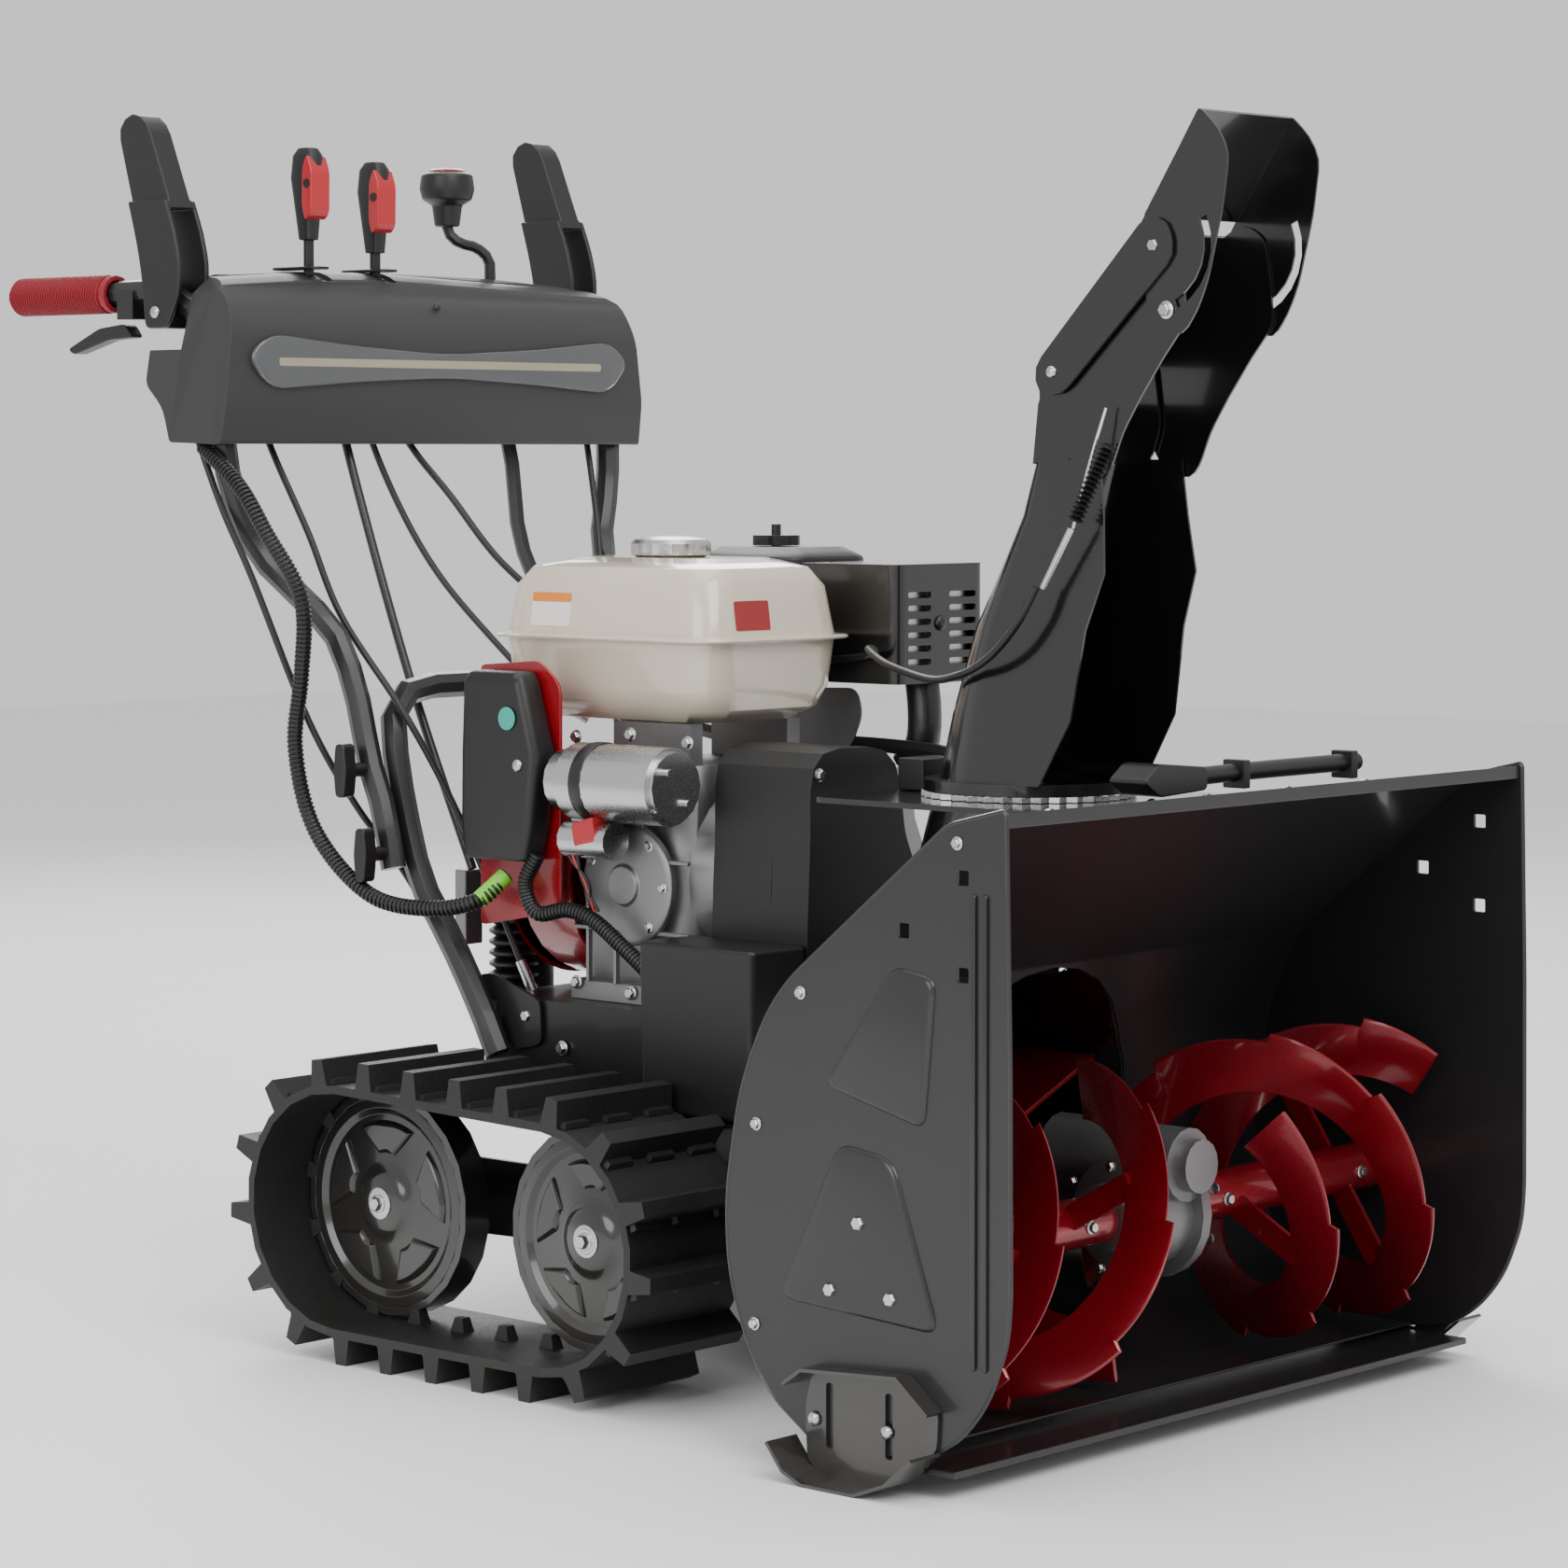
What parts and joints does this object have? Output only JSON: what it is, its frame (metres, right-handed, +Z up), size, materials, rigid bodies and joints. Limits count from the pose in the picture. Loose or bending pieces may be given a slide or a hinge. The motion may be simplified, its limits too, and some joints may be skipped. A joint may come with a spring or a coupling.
{
  "type": "two stage snowblower",
  "caption": "Tracked two stage snowblower with a graphite auger housing, red augers, gloss black chute, cream fuel tank and a dark grey dash",
  "frame": {"origin": "on the ground, at the middle of the bounding box's length and width", "axes": "+X forward towards the auger, +Y to the machine's left, +Z up"},
  "size_m": [1.3899, 0.836, 1.1908],
  "materials": {
    "graphite_paint": "dark graphite metallic paint, satin to gloss",
    "gloss_black_paint": "gloss black paint on sheet steel",
    "satin_black_paint": "satin black powder coat on tube and plate",
    "auger_red_paint": "deep red metallic paint with lighter worn edges",
    "cover_red_paint": "gloss red paint on the fan cover and bracket",
    "cream_tank": "gloss cream enamel",
    "cast_aluminium": "bare cast aluminium, fine grain",
    "zinc_plate": "bright zinc plate",
    "track_rubber": "black moulded rubber, matte and scuffed",
    "dash_plastic": "dark grey textured plastic",
    "black_plastic": "black moulded plastic, light grain",
    "grip_red": "red ribbed rubber",
    "clear_lens": "clear ribbed polycarbonate lens"
  },
  "bodies": {
    "machine": {"side_plate_right": "graphite_paint", "side_plate_left": "graphite_paint", "skid_shoe_right": "gloss_black_paint", "skid_shoe_left": "gloss_black_paint", "housing_back": "graphite_paint", "impeller_drum": "gloss_black_paint", "scraper_bar": "graphite_paint", "auger_gearbox": "cast_aluminium", "chute_drive": "black_plastic", "transmission_frame": "satin_black_paint", "transmission_case": "cast_aluminium", "drive_belt": "track_rubber", "belt_cover": "black_plastic", "battery_box": "black_plastic", "crankcase": "cast_aluminium", "engine_cylinder": "cast_aluminium", "fuel_tank": "cream_tank", "fan_cover": "cover_red_paint", "control_box": "black_plastic", "starter_motor": "zinc_plate", "muffler": "satin_black_paint", "muffler_guard": "satin_black_paint", "air_cleaner": "black_plastic", "handle_frame": "satin_black_paint", "upper_handle_right": "satin_black_paint", "upper_handle_left": "satin_black_paint", "grip_right": "grip_red", "grip_left": "grip_red", "dash_panel": "dash_plastic", "light_lens": "clear_lens", "gas_strut": "track_rubber", "wiring_conduit": "black_plastic", "deflector_cable": "black_plastic", "flex_shaft": "black_plastic"},
    "augers": {"auger_right": "auger_red_paint", "auger_left": "auger_red_paint", "auger_shaft": "zinc_plate"},
    "impeller": {"impeller": "auger_red_paint"},
    "crankshaft": {"engine_pulley": "zinc_plate"},
    "chute": {"chute_ring_gear": "zinc_plate", "chute_lower": "gloss_black_paint"},
    "chute_guide": {"chute_middle": "gloss_black_paint"},
    "chute_cap": {"chute_top": "gloss_black_paint"},
    "crank": {"chute_crank": "satin_black_paint"},
    "crank_handle": {"crank_knob": "black_plastic"},
    "speed_lever": {"speed_lever": "black_plastic"},
    "deflector_lever": {"deflector_lever": "black_plastic"},
    "clutch_right": {"clutch_lever_right": "black_plastic"},
    "clutch_left": {"clutch_lever_left": "black_plastic"},
    "trigger": {"height_trigger": "black_plastic"},
    "tank_cap": {"fuel_cap": "zinc_plate"},
    "cleaner_knob": {"air_cleaner_knob": "black_plastic"},
    "carriage": {"track_frame": "satin_black_paint", "track_belt_right": "track_rubber", "track_belt_left": "track_rubber"},
    "drive_wheels": {"drive_axle": "zinc_plate", "drive_wheel_right": "gloss_black_paint", "drive_wheel_left": "gloss_black_paint"},
    "idler_right": {"idler_wheel_right": "gloss_black_paint"},
    "idler_left": {"idler_wheel_left": "gloss_black_paint"}
  },
  "joints": [
    {"name": "impeller_spin", "type": "hinge", "parent": "machine", "child": "impeller", "pos_m": [0.326, 0, 0.228], "axis": [1, 0, 0], "continuous": true},
    {"name": "auger_spin", "type": "hinge", "parent": "machine", "child": "augers", "pos_m": [0.537, 0, 0.182], "axis": [0, 1, 0], "continuous": true},
    {"name": "engine_spin", "type": "hinge", "parent": "machine", "child": "crankshaft", "pos_m": [0.16, 0, 0.448], "axis": [1, 0, 0], "continuous": true},
    {"name": "chute_turn", "type": "hinge", "parent": "machine", "child": "chute", "pos_m": [0.408, 0, 0.555], "axis": [0, 0, 1], "range_deg": [-100, 100], "deforming": ["deflector_cable"]},
    {"name": "chute_crank_turn", "type": "hinge", "parent": "machine", "child": "crank", "pos_m": [-0.431, 0.14, 1], "axis": [0, 0, 1], "range_deg": [-1500, 1500]},
    {"name": "crank_knob_spin", "type": "hinge", "parent": "crank", "child": "crank_handle", "pos_m": [-0.453, 0.099, 1.12], "axis": [0, 0, 1], "continuous": true},
    {"name": "chute_guide_tilt", "type": "hinge", "parent": "chute", "child": "chute_guide", "pos_m": [0.49, 0, 0.927], "axis": [0, 1, 0], "range_deg": [0, 45]},
    {"name": "chute_cap_tilt", "type": "hinge", "parent": "chute_guide", "child": "chute_cap", "pos_m": [0.601, 0, 1.035], "axis": [0, 1, 0], "range_deg": [0, 60]},
    {"name": "deflector_lever_tilt", "type": "hinge", "parent": "machine", "child": "deflector_lever", "pos_m": [-0.403, -0.05, 0.965], "axis": [0, 1, 0], "range_deg": [-27, 0]},
    {"name": "speed_lever_tilt", "type": "hinge", "parent": "machine", "child": "speed_lever", "pos_m": [-0.4, -0.143, 0.965], "axis": [0, 1, 0], "range_deg": [-27, 0]},
    {"name": "clutch_lever_right_pull", "type": "hinge", "parent": "machine", "child": "clutch_right", "pos_m": [-0.458, -0.273, 0.987], "axis": [0, -1, 0], "range_deg": [0, 43], "stiffness_Nm_per_rad": 3, "springref_deg": -17.19},
    {"name": "clutch_lever_left_pull", "type": "hinge", "parent": "machine", "child": "clutch_left", "pos_m": [-0.458, 0.273, 0.987], "axis": [0, -1, 0], "range_deg": [0, 43], "stiffness_Nm_per_rad": 3, "springref_deg": -17.19},
    {"name": "height_trigger_pull", "type": "hinge", "parent": "machine", "child": "trigger", "pos_m": [-0.512, -0.273, 0.977], "axis": [0, 1, 0], "range_deg": [0, 13], "stiffness_Nm_per_rad": 0.6, "springref_deg": -17.19},
    {"name": "fuel_cap_turn", "type": "hinge", "parent": "machine", "child": "tank_cap", "pos_m": [-0.038, 0, 0.76], "axis": [0, 0, 1], "range_deg": [0, 90]},
    {"name": "air_cleaner_knob_turn", "type": "hinge", "parent": "machine", "child": "cleaner_knob", "pos_m": [-0.066, 0.184, 0.765], "axis": [0, 0, 1], "continuous": true},
    {"name": "track_tilt", "type": "hinge", "parent": "machine", "child": "carriage", "pos_m": [0.114, 0, 0.14], "axis": [0, 1, 0], "range_deg": [-5, 5]},
    {"name": "drive_axle_spin", "type": "hinge", "parent": "machine", "child": "drive_wheels", "pos_m": [0.114, 0, 0.14], "axis": [0, 1, 0], "continuous": true},
    {"name": "idler_right_spin", "type": "hinge", "parent": "carriage", "child": "idler_right", "pos_m": [-0.16, -0.249, 0.144], "axis": [0, 1, 0], "continuous": true},
    {"name": "idler_left_spin", "type": "hinge", "parent": "carriage", "child": "idler_left", "pos_m": [-0.16, 0.249, 0.144], "axis": [0, 1, 0], "continuous": true}
  ],
  "couplings": [
    {"joint": "auger_spin", "follows": "impeller_spin", "ratio": 0.1},
    {"joint": "engine_spin", "follows": "impeller_spin", "ratio": 1.9},
    {"joint": "chute_crank_turn", "follows": "chute_turn", "ratio": 15},
    {"joint": "deflector_lever_tilt", "follows": "chute_guide_tilt", "ratio": -0.6},
    {"joint": "idler_right_spin", "follows": "drive_axle_spin", "ratio": 0.964},
    {"joint": "idler_left_spin", "follows": "drive_axle_spin", "ratio": 0.964}
  ]
}
